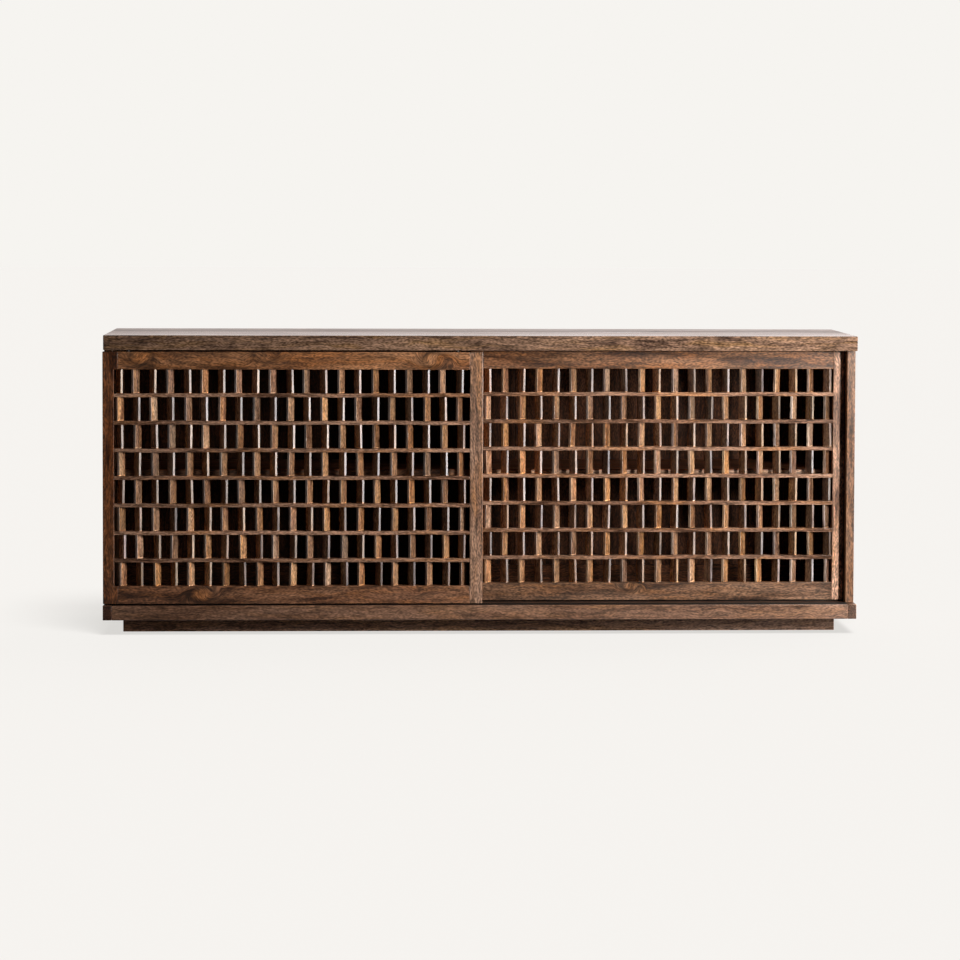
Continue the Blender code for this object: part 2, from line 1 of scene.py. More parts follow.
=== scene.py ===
"""A low credenza in stained mango wood, with two lattice doors that slide past each other.

Metres, +Z up, -Y the front.  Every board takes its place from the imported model.
"""
import json
import math
import random

import bmesh
import bpy
from mathutils import Matrix, Vector


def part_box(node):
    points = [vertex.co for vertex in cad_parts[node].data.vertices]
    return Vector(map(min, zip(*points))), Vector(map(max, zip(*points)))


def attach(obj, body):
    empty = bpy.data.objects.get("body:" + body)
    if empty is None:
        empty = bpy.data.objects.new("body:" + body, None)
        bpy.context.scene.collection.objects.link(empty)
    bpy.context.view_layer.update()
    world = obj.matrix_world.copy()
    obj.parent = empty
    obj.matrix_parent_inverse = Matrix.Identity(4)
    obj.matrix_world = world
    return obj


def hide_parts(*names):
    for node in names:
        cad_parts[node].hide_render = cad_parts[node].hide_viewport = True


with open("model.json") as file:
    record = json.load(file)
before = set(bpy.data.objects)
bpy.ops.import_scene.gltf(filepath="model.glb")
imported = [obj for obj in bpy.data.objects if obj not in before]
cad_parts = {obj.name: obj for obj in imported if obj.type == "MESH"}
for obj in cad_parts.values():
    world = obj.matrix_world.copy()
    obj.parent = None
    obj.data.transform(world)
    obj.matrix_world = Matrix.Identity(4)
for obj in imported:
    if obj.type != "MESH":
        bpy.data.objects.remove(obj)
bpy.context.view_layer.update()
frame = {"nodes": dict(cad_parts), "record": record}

# How far the edges of the boards are eased
BOARD_EASE = 0.0014
DOOR_FRAME_EASE = 0.0011
SLAT_EASE = 0.0006
BACK_BOARD_EASE = 0.0022
EASE_STEPS = 3

# Room round the guide pins in the top's grooves, and round the roller housings in the rails' pockets
GROOVE_SIDE_ROOM = 0.0005
GROOVE_DEPTH_ROOM = 0.002
POCKET_ROOM = 0.0003

# The lattice.  The solid combs reach a stub's length into the stiles, and the foot of each slat carries a
# painted highlight.
LATTICE_ROWS = 8
SLATS_PER_ROW = 21
SLAT_TURN = math.radians(35.0)
SLAT_THICKNESS = 0.0063
SLAT_DEPTH = 0.0229
SLAT_FOOT_HIGHLIGHT_HEIGHT = 0.0024
CROSS_SLAT_THICKNESS = 0.0087
CROSS_SLAT_STUB = 0.006
LATTICE_SETBACK = 0.0005
LATTICE_MARGIN = {"front": 0.018, "rear": 0.012}

# A left stile that covers more of the lattice than this is cut back beside it
STILE_STEP = 0.002

# The lattice was set by eye: how far each row lies to the right of the one above, the row that is true,
# and how far single slats stray along X, in their turn and in their lean
ROW_DRIFT = {"front": 0.0013, "rear": 0.0003}
TRUE_ROW = {"front": 6.2, "rear": 7.0}
SLAT_STRAY = 0.0009
SLAT_TURN_STRAY = math.radians(1.2)
SLAT_LEAN_STRAY = math.radians(0.5)

# A cross slat wavers in two waves, given in radians along its length, and is true near its ends
CROSS_SLAT_WAVER = 0.0005
CROSS_SLAT_WAVES = (11.0, 31.0)
CROSS_SLAT_TRUE_END = 1 / 12
CROSS_SLAT_CUTS = 23

# The back is made of upright boards that butt together, each in its own shade
BACK_BOARDS = 9
BACK_BOARD_SHADES = (0.6, 1.2)

# The top is glued up from staves, some of which have lost some of their wax
TOP_STAVE_SEAMS = (-0.098, 0.012, 0.108)
TOP_STAVE_SHADES = (0.97, 1.1, 0.86, 1.0)
TOP_STAVE_DULLNESS = (0.0, 0.05, 0.16, 0.1)

# How each board took the stain, as a share of the wood's own red, green and blue; some also hold painted
# light and painted shade, as noted
# The plinth's stain is raised to stand in for the light that the floor would throw back on it: partly painted
# light
PLINTH_STAIN_AND_BOUNCE_LIGHT = (1.62, 2.05, 2.6)
BASE_STAIN = (1.03, 1.24, 1.56)
# Painted shade: the base's flat top is stained dark, as if in shadow
BASE_TOP_PAINTED_SHADE = (0.36, 0.36, 0.4)
BASE_SIDE_STAIN = (0.85, 0.95, 1.1)
BASE_END_STAIN = {"left": (0.8, 0.78, 0.9), "right": (1.4, 1.65, 2.0)}
SIDE_STAIN = (0.81, 0.89, 0.97)
DOOR_STAINS = {
    "front_top_rail": (1.08, 1.06, 0.96),
    "front_bottom_rail": (0.9, 0.92, 0.98),
    "front_stile_left": (0.76, 0.62, 0.48),
    "front_stile_right": (1.1, 1.37, 1.8),
    "rear_top_rail": (0.83, 0.83, 0.79),
    "rear_bottom_rail": (0.65, 0.72, 0.79),
    "rear_stile_left": (1.0, 1.0, 1.0),
    # Painted light: this stile is stained much paler, to stand in for the light and sheen on its lit part
    "rear_stile_right": (2.3, 2.9, 4.0),
}
CROSS_SLAT_STAIN = (1.25, 1.52, 2.0)
CROSS_SLAT_SHADES = (0.85, 1.1)

# The slats vary most.  Their broad faces took a warmer stain than their front edges.  The front edges carry
# painted light that differs by the side they are turned to, and both carry painted light and shade that
# change from the left end of a row to the right end.
SLAT_SHADES = (0.56, 1.26)
SLAT_WARMTHS = (-0.22, 0.22)
SLAT_FOOT_PAINTED_HIGHLIGHT = (1.0, 2.4)
SLAT_FACE_STAIN = Vector((1.02, 0.95, 0.83))
SLAT_FACE_PAINTED_LIGHT_ALONG_ROW = {"front": (1.2, 0.72), "rear": (1.24, 0.68)}
SLAT_EDGE_STAIN_AND_PAINTED_LIGHT = {"right": Vector((0.95, 1.12, 1.4)), "left": Vector((1.45, 1.65, 2.0))}
SLAT_EDGE_PAINTED_LIGHT_ALONG_ROW = {
    "front": (Vector((1.36, 1.48, 1.51)), Vector((0.51, 0.4, 0.32))),
    "rear": (Vector((0.71, 0.6, 0.48)), Vector((0.98, 1.08, 1.13))),
}

# Inside, the wood is stained darker, which is painted shade and is darkest on the left, and the front edges
# of the shelves carry a painted highlight
INSIDE_STAIN_AND_PAINTED_SHADE = {"left": (0.34, 0.23, 0.16), "right": (0.62, 0.43, 0.31)}
SHELF_EDGE_PAINTED_HIGHLIGHT = {"left": (0.7, 0.8, 0.95), "right": (1.6, 2.25, 3.2)}
SHELF_HIGHLIGHT_DROP = 0.0026

# Axes that a board's grain runs along, and the turn that lays each one along X for the pattern
GRAIN_AXIS = {"X": (1.0, 0.0, 0.0), "Y": (0.0, 1.0, 0.0), "Z": (0.0, 0.0, 1.0)}
GRAIN_TURN = {
    "X": (0.0, 0.0, 0.0),
    "Y": (0.0, 0.0, math.radians(-90.0)),
    "Z": (0.0, math.radians(90.0), 0.0),
}

# Each board is cut from its own place in the pattern, no further than this from the middle along each axis
GRAIN_REACH = 9.0

# How much paler the arrises are rubbed, and how high the flecks stand
ARRIS_WEAR = 0.2
FLECK_HEIGHT = 0.0004

# Knots: where each one is, how far it reaches, how far it turns the grain and how warm its heart is
KNOT_LENGTH = 1.7
DOOR_AND_BASE_KNOTS = (
    ((-0.113, -0.197, 0.656), 0.036, 1.3, 0.0),
    ((-0.665, -0.197, 0.097), 0.034, -1.2, 0.7),
    ((-0.808, -0.197, 0.662), 0.034, 0.9, 0.35),
    ((-0.515, -0.197, 0.668), 0.036, -0.8, 0.0),
    ((0.362, -0.142, 0.110), 0.026, 1.4, 0.3),
)
SIDE_KNOTS = (
    ((0.8975, 0.055, 0.460), 0.050, 1.2, 0.3),
    ((0.8975, -0.080, 0.170), 0.042, -1.0, 0.3),
    ((-0.8975, -0.020, 0.260), 0.048, -1.3, 0.3),
    ((-0.8975, 0.110, 0.560), 0.040, 1.0, 0.3),
)
TOP_KNOTS = (
    ((0.390, 0.040, 0.714), 0.060, 1.1, 0.3),
    ((-0.520, -0.060, 0.714), 0.050, -1.2, 0.3),
)

# The studio: pale paper, soft lights with sizes in metres and power in watts, and a sun for the floor alone
PAPER_WHITE = "#f6f4f0"
FLOOR_RADIUS = 40.0
FLOOR_SIDES = 96
KEY_LIGHT = {
    "place": (1.5, -1.5, 0.95), "aim": (-0.45, -1.26, 0.57), "width": 0.12, "height": 0.7, "power": 66.0,
    "colour": "#fffaf3",
}
STRIP_LIGHT = {
    "place": (2.0, -0.95, 0.35), "aim": (0.0, -0.15, 0.4), "width": 0.5, "height": 0.7, "power": 27.0,
    "colour": "#f3f8ff",
}
LEFT_GLOW = {
    "place": (-3.0, -1.2, 0.4), "aim": (0.0, -0.15, 0.4), "width": 0.6, "height": 0.8, "power": 2.4,
    "colour": "#fff3ee",
}
FLOOR_LIGHT_STRENGTH = 7.6
FLOOR_LIGHT_SPREAD = math.radians(28.0)
FLOOR_LIGHT_DIRECTION = (-0.2, 0.4, -1.0)

# The camera.  Its tilt is measured up from straight down.
CAMERA_PLACE = (-0.2917, -7.2793, 1.0304)
CAMERA_TURN = math.radians(-2.3137)
CAMERA_TILT = math.radians(90.0 - 2.74)
CAMERA_ROLL = math.radians(0.1977)
LENS_MM = 111.97
SENSOR_MM = 36.0
LENS_SHIFT = -0.1402

# Further off than any part of the cabinet, and how near two places count as one
FAR = 10.0
CUT_TOLERANCE = 1e-7
LEVEL_TOLERANCE = 1e-6

# The slope of a face that looks down, and the turn in radians that makes an edge a corner
DOWNWARD = -0.9
CORNER = 0.5

chance = random.Random(23)


def linear(hex_colour):
    """A colour written as sRGB hex, as the linear RGBA that the shaders take."""
    parts = [int(hex_colour[i:i + 2], 16) / 255.0 for i in (1, 3, 5)]
    return tuple(c / 12.92 if c <= 0.04045 else ((c + 0.055) / 1.055) ** 2.4 for c in parts) + (1.0,)


def per_metre(millimetres):
    """A pattern's scale from the real size of one of its features."""
    return 1000.0 / millimetres


def grain_scale(length, width):
    """The scale of a pattern whose features are this long along X and this wide across it, in millimetres."""
    return (per_metre(length), per_metre(width), per_metre(width))


def empty_material(name):
    """A material with an empty node tree."""
    material = bpy.data.materials.new(name)
    material.use_nodes = True
    material.node_tree.nodes.clear()
    return material, material.node_tree


def add_node(tree, kind, feeds=None, **settings):
    """Add a node, with its settings, and a value or another node's output for each socket named in feeds.

    Sockets whose names repeat go by number: 1 to 4 of a MapRange are the range it takes and the
    range it gives, and 6 and 7 of a colour Mix are its two colours.
    """
    made = tree.nodes.new("ShaderNode" + kind)
    for key, value in settings.items():
        setattr(made, key, value)
    for key, value in (feeds or {}).items():
        if isinstance(value, bpy.types.NodeSocket):
            tree.links.new(value, made.inputs[key])
        else:
            made.inputs[key].default_value = value
    return made


def twisted_by_knots(tree, place, grain, through, knots):
    """Turn the grain about the middle of each knot, in the plane of the board's face.

    Returns the turned place, how near the nearest knot is, and how much of a warm heart shows.
    """
    nearest = None
    heart_share = None
    squeeze = [1.0 / KNOT_LENGTH if along else 1.0 for along in GRAIN_AXIS[grain]]
    for middle, reach, turn, warmth in knots:
        offset = add_node(tree, "VectorMath", {0: place, 1: middle}, operation="SUBTRACT")
        squeezed = add_node(tree, "VectorMath", {0: offset.outputs[0], 1: squeeze}, operation="MULTIPLY")
        away = add_node(tree, "VectorMath", {0: squeezed.outputs[0]}, operation="LENGTH")
        near = add_node(tree, "MapRange", {"Value": away.outputs["Value"], 1: 0.0, 2: reach, 3: 1.0, 4: 0.0},
                        interpolation_type="SMOOTHSTEP").outputs[0]
        angle = add_node(tree, "Math", {0: near, 1: turn}, operation="MULTIPLY")
        place = add_node(tree, "VectorRotate", {"Vector": place, "Center": middle, "Angle": angle.outputs[0]},
                         rotation_type=f"{through}_AXIS").outputs[0]
        heart = add_node(tree, "MapRange", {"Value": near, 1: 0.5, 2: 0.85, 3: 0.0, 4: warmth}).outputs[0]
        if nearest is None:
            nearest = near
            heart_share = heart
        else:
            nearest = add_node(tree, "Math", {0: nearest, 1: near}, operation="MAXIMUM").outputs[0]
            heart_share = add_node(tree, "Math", {0: heart_share, 1: heart}, operation="MAXIMUM").outputs[0]
    return place, nearest, heart_share


def pushed(tree, place, noise, reach):
    """A place pushed aside by a noise's colour, by up to about a third of reach."""
    centred = add_node(tree, "VectorMath", {0: noise.outputs["Color"], 1: (0.5, 0.5, 0.5)},
                       operation="SUBTRACT")
    push = add_node(tree, "VectorMath", {0: centred.outputs[0], 1: reach}, operation="MULTIPLY")
    return add_node(tree, "VectorMath", {0: place, 1: push.outputs[0]}, operation="ADD").outputs[0]


def grain_patterns(tree, along, figure_mm):
    """The patterns in the wood, by the length and width of their features in millimetres.

    The swell, whose contours are the growth rings, the pale patches and the streaks of wax follow
    the slow sway of the grain.  The warm glow, the flecks and the pores follow its curl too.
    """
    sway_scale = add_node(tree, "Mapping", {0: along, "Scale": grain_scale(420, 140)})
    sway = add_node(tree, "TexNoise", {"Vector": sway_scale.outputs[0], "Scale": 1.0, "Detail": 2.0})
    swayed = pushed(tree, along, sway, (0.05, 0.04, 0.04))
    curl_scale = add_node(tree, "Mapping", {0: along, "Scale": grain_scale(60, 40)})
    curl = add_node(tree, "TexNoise", {"Vector": curl_scale.outputs[0], "Scale": 1.0, "Detail": 1.0})
    curled = pushed(tree, swayed, curl, (0.0, 0.017, 0.017))

    # Flecks are about 0.5 mm wide in the real wood and pores 0.3 mm, which is too fine to show, so they
    # are drawn 2.2 mm and 2.6 mm wide
    features = {
        "swell": (swayed, figure_mm, 3.0),
        "patch": (swayed, (230, 34), 2.0),
        "glow": (curled, (170, 15), 2.0),
        "fleck": (curled, (7, 2.2), 0.0),
        "pore": (curled, (45, 2.6), 1.0),
        "wax": (swayed, (320, 20), 2.0),
    }
    patterns = {}
    for feature, (place, size_mm, detail) in features.items():
        scaled = add_node(tree, "Mapping", {0: place, "Scale": grain_scale(*size_mm)})
        noise = add_node(tree, "TexNoise", {"Vector": scaled.outputs[0], "Scale": 1.0, "Detail": detail})
        if feature == "swell":
            noise.inputs["Roughness"].default_value = 0.55
            noise.inputs["Distortion"].default_value = 0.5
        patterns[feature] = noise.outputs["Fac"]
    return patterns


def stained_mango(name, grain, tones, roughness=(0.36, 0.52), figure_mm=(850, 95), rings=20.0, shine=0.5,
                  knots=(), through="Y", flecks=(0.5, 1.5), relief=0.3):
    """Mango wood, planed, stained brown and waxed to a satin finish.

    Wandering growth rings give dark lines and pale swirls, the curling fibres short flecks that
    slant, and the pores dark dashes.  The grain twists through the knots, which have a dark rim
    and a warm heart.  The stain runs warmer in places.  The ends of a board show dark end grain,
    and the arrises are rubbed paler.
    """
    material, tree = empty_material(name)
    coordinates = add_node(tree, "TexCoord")
    seed = add_node(tree, "Attribute", attribute_name="grain_seed").outputs["Vector"]
    stain = add_node(tree, "Attribute", attribute_name="stain").outputs["Color"]
    arris = add_node(tree, "Attribute", attribute_name="arris").outputs["Fac"]
    dull = add_node(tree, "Attribute", attribute_name="dull").outputs["Fac"]
    place = coordinates.outputs["Object"]
    twisted, nearest, heart_share = twisted_by_knots(tree, place, grain, through, knots)
    turned = add_node(tree, "Mapping", {0: twisted, "Rotation": GRAIN_TURN[grain]})
    along = add_node(tree, "VectorMath", {0: turned.outputs[0], 1: seed}, operation="ADD").outputs[0]
    pattern = grain_patterns(tree, along, figure_mm)

    # Growth rings, cut lengthways
    ring_phase = add_node(tree, "Math", {0: pattern["swell"], 1: rings * math.tau}, operation="MULTIPLY")
    ring_wave = add_node(tree, "Math", {0: ring_phase.outputs[0]}, operation="SINE")
    ring = add_node(tree, "MapRange", {"Value": ring_wave.outputs[0], 1: -1.0, 2: 0.55, 3: 0.0, 4: 1.0},
                    interpolation_type="SMOOTHSTEP")
    body = add_node(tree, "Mix", {0: ring.outputs[0], 6: linear(tones["dark"]), 7: linear(tones["middle"])},
                    data_type="RGBA")

    # Paler patches a hand's length long, and narrower, warmer streaks
    patch_share = add_node(tree, "MapRange", {"Value": pattern["patch"], 1: 0.42, 2: 0.72, 3: 0.0, 4: 0.9})
    pale = add_node(tree, "Mix", {0: patch_share.outputs[0], 6: body.outputs[2], 7: linear(tones["light"])},
                    data_type="RGBA")
    glow_share = add_node(tree, "MapRange", {"Value": pattern["glow"], 1: 0.5, 2: 0.72, 3: 0.0, 4: 0.75})
    warm = add_node(tree, "Mix", {0: glow_share.outputs[0], 6: pale.outputs[2], 7: linear(tones["warm"])},
                    data_type="RGBA")

    # Flecks and pores lighten and darken it, and each knot has a dark rim
    fleck_tone = add_node(tree, "MapRange", {"Value": pattern["fleck"], 1: 0.3, 2: 0.7, 3: flecks[0],
                                             4: flecks[1]})
    pore_tone = add_node(tree, "MapRange", {"Value": pattern["pore"], 1: 0.42, 2: 0.68, 3: 1.22, 4: 0.5})
    tone = add_node(tree, "Math", {0: fleck_tone.outputs[0], 1: pore_tone.outputs[0]}, operation="MULTIPLY")
    if knots:
        rim = add_node(tree, "Math", {0: nearest, 1: 0.5}, operation="PINGPONG")
        rim_tone = add_node(tree, "MapRange", {"Value": rim.outputs[0], 1: 0.15, 2: 0.5, 3: 1.0, 4: 0.42})
        tone = add_node(tree, "Math", {0: tone.outputs[0], 1: rim_tone.outputs[0]}, operation="MULTIPLY")
        warm = add_node(tree, "Mix", {0: heart_share, 6: warm.outputs[2], 7: linear(tones["heart"])},
                        data_type="RGBA")

    # End grain: where the surface faces along the board
    facing = add_node(tree, "VectorMath", {0: coordinates.outputs["Normal"], 1: GRAIN_AXIS[grain]},
                      operation="DOT_PRODUCT")
    facing_size = add_node(tree, "Math", {0: facing.outputs["Value"]}, operation="ABSOLUTE")
    end_share = add_node(tree, "MapRange", {"Value": facing_size.outputs[0], 1: 0.7, 2: 0.9, 3: 0.0, 4: 0.85})
    sawn = add_node(tree, "Mix", {0: end_share.outputs[0], 6: warm.outputs[2], 7: linear(tones["end"])},
                    data_type="RGBA")

    worn = add_node(tree, "Math", {0: arris, 1: ARRIS_WEAR}, operation="MULTIPLY")
    rubbed = add_node(tree, "Mix", {0: worn.outputs[0], 6: sawn.outputs[2], 7: linear(tones["light"])},
                      data_type="RGBA")
    toned = add_node(tree, "VectorMath", {0: rubbed.outputs[2], "Scale": tone.outputs[0]}, operation="SCALE")
    colour = add_node(tree, "VectorMath", {0: toned.outputs[0], 1: stain}, operation="MULTIPLY")

    # The wax lies in long streaks, and thinner on some boards
    waxed = add_node(tree, "MapRange", {"Value": pattern["wax"], 1: 0.35, 2: 0.65, 3: roughness[0],
                                        4: roughness[1]})
    gloss = add_node(tree, "Math", {0: waxed.outputs[0], 1: dull}, operation="ADD")
    bump = add_node(tree, "Bump", {"Height": pattern["fleck"], "Strength": relief,
                                   "Distance": FLECK_HEIGHT})
    shader = add_node(tree, "BsdfPrincipled", {"Base Color": colour.outputs[0], "Roughness": gloss.outputs[0],
                                               "Normal": bump.outputs[0], "IOR": 1.5,
                                               "Specular IOR Level": shine})
    add_node(tree, "OutputMaterial", {"Surface": shader.outputs[0]})
    return material


def blackened_steel(name):
    """Rolled steel strip, chemically blackened: a dark metal with a faint lengthways sheen."""
    material, tree = empty_material(name)
    place = add_node(tree, "TexCoord").outputs["Object"]
    streak_scale = add_node(tree, "Mapping", {0: place, "Scale": grain_scale(60, 1.5)})
    streak = add_node(tree, "TexNoise", {"Vector": streak_scale.outputs[0], "Scale": 1.0, "Detail": 3.0})
    colour = add_node(tree, "Mix", {0: streak.outputs["Fac"], 6: linear("#2b2a29"), 7: linear("#4a4845")},
                      data_type="RGBA")
    gloss = add_node(tree, "MapRange", {"Value": streak.outputs["Fac"], 3: 0.34, 4: 0.56})
    shader = add_node(tree, "BsdfPrincipled", {"Base Color": colour.outputs[2], "Roughness": gloss.outputs[0],
                                               "Metallic": 1.0})
    add_node(tree, "OutputMaterial", {"Surface": shader.outputs[0]})
    return material


def moulded_nylon(name):
    """Black nylon, injection moulded: dark, slightly waxy, with a fine mottled gloss."""
    material, tree = empty_material(name)
    place = add_node(tree, "TexCoord").outputs["Object"]
    mottle = add_node(tree, "TexNoise", {"Vector": place, "Scale": per_metre(1.2), "Detail": 2.0})
    colour = add_node(tree, "Mix", {0: mottle.outputs["Fac"], 6: linear("#1d1c1b"), 7: linear("#2c2b29")},
                      data_type="RGBA")
    gloss = add_node(tree, "MapRange", {"Value": mottle.outputs["Fac"], 3: 0.38, 4: 0.54})
    shader = add_node(tree, "BsdfPrincipled", {"Base Color": colour.outputs[2], "Roughness": gloss.outputs[0],
                                               "IOR": 1.53})
    add_node(tree, "OutputMaterial", {"Surface": shader.outputs[0]})
    return material


def pale_floor(name):
    """Matt studio floor paper, lit evenly: a pale ground that takes only a soft shadow."""
    material, tree = empty_material(name)
    shader = add_node(tree, "BsdfPrincipled", {"Base Color": linear("#555453"), "Roughness": 0.9,
                                               "Specular IOR Level": 0.0,
                                               "Emission Color": linear(PAPER_WHITE),
                                               "Emission Strength": 0.738})
    add_node(tree, "OutputMaterial", {"Surface": shader.outputs[0]})
    return material


BASE_TONES = {
    "dark": "#5a3924", "middle": "#714a32", "light": "#8a6045", "warm": "#895a38", "end": "#3a2418",
}
FRAME_TONES = {
    "dark": "#482c1b", "middle": "#754d34", "light": "#9c6f50", "warm": "#955f37", "end": "#3a2418",
    "heart": "#b87848",
}
TOP_TONES = {
    "dark": "#4d3a30", "middle": "#725848", "light": "#94755f", "warm": "#80603f", "end": "#3a2a20",
    "heart": "#8a6848",
}
SLAT_TONES = {
    "dark": "#6a4a38", "middle": "#8c6853", "light": "#b09074", "warm": "#b0825a", "end": "#6a4a30",
}
INNER_TONES = {
    "dark": "#3c281b", "middle": "#5a4030", "light": "#6e5240", "warm": "#684830", "end": "#33241a",
}

WOOD = {
    "frame_X": stained_mango("Stained mango, grain across", "X", FRAME_TONES, rings=12.0,
                             knots=DOOR_AND_BASE_KNOTS),
    "base_X": stained_mango("Plain stained mango, grain across", "X", BASE_TONES, flecks=(0.6, 1.4)),
    "frame_Y": stained_mango("Stained mango, grain to the back", "Y", FRAME_TONES),
    "frame_Z": stained_mango("Stained mango, grain upright", "Z", FRAME_TONES, knots=SIDE_KNOTS, through="X"),
    "top_X": stained_mango("Polished mango, grain across", "X", TOP_TONES, roughness=(0.17, 0.3),
                           knots=TOP_KNOTS, through="Z"),
    "slat_X": stained_mango("Light mango, grain across", "X", FRAME_TONES, roughness=(0.2, 0.3),
                            flecks=(0.6, 1.4)),
    "slat_Z": stained_mango("Light mango, grain upright", "Z", SLAT_TONES, roughness=(0.24, 0.33),
                            figure_mm=(260, 40), rings=8.0),
    "slat_edge_Z": stained_mango("Planed mango edge, grain upright", "Z", SLAT_TONES, roughness=(0.24, 0.33),
                                 figure_mm=(260, 40), rings=8.0, flecks=(0.85, 1.15), relief=0.05),
    "inner_X": stained_mango("Inner mango, grain across", "X", INNER_TONES, roughness=(0.5, 0.66),
                             shine=0.15, flecks=(0.45, 1.55)),
    "inner_Z": stained_mango("Inner mango, grain upright", "Z", INNER_TONES, roughness=(0.5, 0.66),
                             shine=0.15, flecks=(0.45, 1.55)),
}
TRACK_STEEL = blackened_steel("Blackened steel strip")
ROLLER_NYLON = moulded_nylon("Black moulded nylon")


def box_into(bm, low, high):
    """Add a box between two corners."""
    low = Vector(low)
    high = Vector(high)
    placed = Matrix.Translation((low + high) / 2) @ Matrix.Diagonal((*(high - low), 1.0))
    bmesh.ops.create_cube(bm, size=1.0, matrix=placed)


def ease(bm, edges, width, steps=EASE_STEPS):
    """Round edges over and mark the faces made there as arrises."""
    arris = bm.faces.layers.float.get("arris") or bm.faces.layers.float.new("arris")
    made = bmesh.ops.bevel(bm, geom=edges, offset=width, affect="EDGES", segments=steps, profile=0.5,
                           material=-1)
    for face in made["faces"]:
        face.smooth = True
        face[arris] = 1.0


def tint(bm, stain, dull=0.0, between=(-FAR, FAR), above=-FAR, below=FAR, finish=0, seed=None):
    """Stain faces, as a share of the wood's colour, and give them a grain and one of the piece's finishes.

    Only the faces between two places along Y and between two heights take it.  The grain is a new
    one, unless seed gives it.  Returns the seed of the grain.
    """
    layers = bm.faces.layers
    stain_layer = layers.float_color.get("stain") or layers.float_color.new("stain")
    dull_layer = layers.float.get("dull") or layers.float.new("dull")
    seed_layer = layers.float_vector.get("grain_seed") or layers.float_vector.new("grain_seed")
    seed = seed or Vector([chance.uniform(-GRAIN_REACH, GRAIN_REACH) for _ in range(3)])
    for face in bm.faces:
        middle = face.calc_center_median()
        if between[0] < middle.y < between[1] and above < middle.z < below:
            face[stain_layer] = (*stain, 1.0)
            face[dull_layer] = dull
            face[seed_layer] = seed
            face.material_index = finish
    return seed


def cut(bm, place, direction):
    """Cut the faces along a plane through a place, so that each side can have its own shape or stain."""
    everything = bm.verts[:] + bm.edges[:] + bm.faces[:]
    bmesh.ops.bisect_plane(bm, geom=everything, dist=CUT_TOLERANCE, plane_co=place, plane_no=direction)


def push_out(bm, faces, offset):
    """Extrude faces as one and move what comes out."""
    made = bmesh.ops.extrude_face_region(bm, geom=faces)["geom"]
    bmesh.ops.translate(bm, vec=offset, verts=[item for item in made if isinstance(item, bmesh.types.BMVert)])


def sink(bm, low, high, depth):
    """Sink a rectangular pocket into the underside of a board, between two corners in plan."""
    z = min(vert.co.z for vert in bm.verts)
    for x in (low[0], high[0]):
        cut(bm, (x, 0, 0), (1, 0, 0))
    for y in (low[1], high[1]):
        cut(bm, (0, y, 0), (0, 1, 0))
    mouth = []
    for face in bm.faces:
        middle = face.calc_center_median()
        underneath = abs(middle.z - z) < LEVEL_TOLERANCE and face.normal.z < DOWNWARD
        if underneath and low[0] < middle.x < high[0] and low[1] < middle.y < high[1]:
            mouth.append(face)
    push_out(bm, mouth, (0, 0, depth))
    bmesh.ops.delete(bm, geom=mouth, context="FACES_ONLY")


def join_into(bm, one):
    """Add a finished slat or board to the piece that it is part of."""
    mesh = bpy.data.meshes.new("joined")
    one.to_mesh(mesh)
    one.free()
    bm.from_mesh(mesh)
    bpy.data.meshes.remove(mesh)


def piece_from(name, bm, materials, body, nodes):
    """Finish a piece: its mesh, its materials, the body it rides on and the nodes it stands for."""
    mesh = bpy.data.meshes.new(name)
    bm.to_mesh(mesh)
    bm.free()
    for material in materials:
        mesh.materials.append(material)
    piece = bpy.data.objects.new(name, mesh)
    bpy.context.scene.collection.objects.link(piece)
    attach(piece, body)
    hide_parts(*nodes)
    return piece


def board(name, low, high, wood, stain, body, node, width=BOARD_EASE, pockets=(), top_painted_shade=None):
    """A board between two corners with its edges eased, which stands for one node."""
    bm = bmesh.new()
    box_into(bm, low, high)
    ease(bm, bm.edges[:], width)
    for pocket in pockets:
        sink(bm, *pocket)
    tint(bm, stain)
    if top_painted_shade:
        # Painted shade on the flat top alone, which leaves out the eased edges
        tint(bm, top_painted_shade, above=high[2] - width / 10)
    piece_from(name, bm, [WOOD[wood]], body, [node])


def carcass_board(name, node, wood, stain):
    """A carcass board as large as its node."""
    low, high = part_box(node)
    board(name, low, high, wood, stain, "carcass", node)


def refinish(node, material):
    """Give a node that keeps its own shape a better material."""
    for place in frame["nodes"][node].material_slots:
        place.material = material


def guide_groove(side, underside):
    """The groove that a door's guide pins run in, as its corners in plan and its depth."""
    left_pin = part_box(f"{side}_guide_pin_left")
    right_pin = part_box(f"{side}_guide_pin_right")
    slide = next(j for j in frame["record"]["behaviour"]["joints"] if j["name"] == f"{side}_door_slide")
    first, last = slide["range_m"]
    low = (left_pin[0].x + first - GROOVE_SIDE_ROOM, left_pin[0].y - GROOVE_SIDE_ROOM)
    high = (right_pin[1].x + last + GROOVE_SIDE_ROOM, left_pin[1].y + GROOVE_SIDE_ROOM)
    return low, high, left_pin[1].z + GROOVE_DEPTH_ROOM - underside


def make_top():
    """Top slab of glued staves, with the two guide grooves for the doors in its underside."""
    low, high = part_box("top_panel")
    bm = bmesh.new()
    box_into(bm, low, high)
    ease(bm, bm.edges[:], BOARD_EASE)
    for side in ("front", "rear"):
        sink(bm, *guide_groove(side, low.z))
    for seam in TOP_STAVE_SEAMS:
        cut(bm, (0, seam, 0), (0, 1, 0))
    bounds = [-FAR, *TOP_STAVE_SEAMS, FAR]
    for first, last, shade, dull in zip(bounds, bounds[1:], TOP_STAVE_SHADES, TOP_STAVE_DULLNESS):
        tint(bm, (shade, shade, shade), dull, (first, last))
    return piece_from("top_board", bm, [WOOD["top_X"]], "carcass", ["top_panel"])


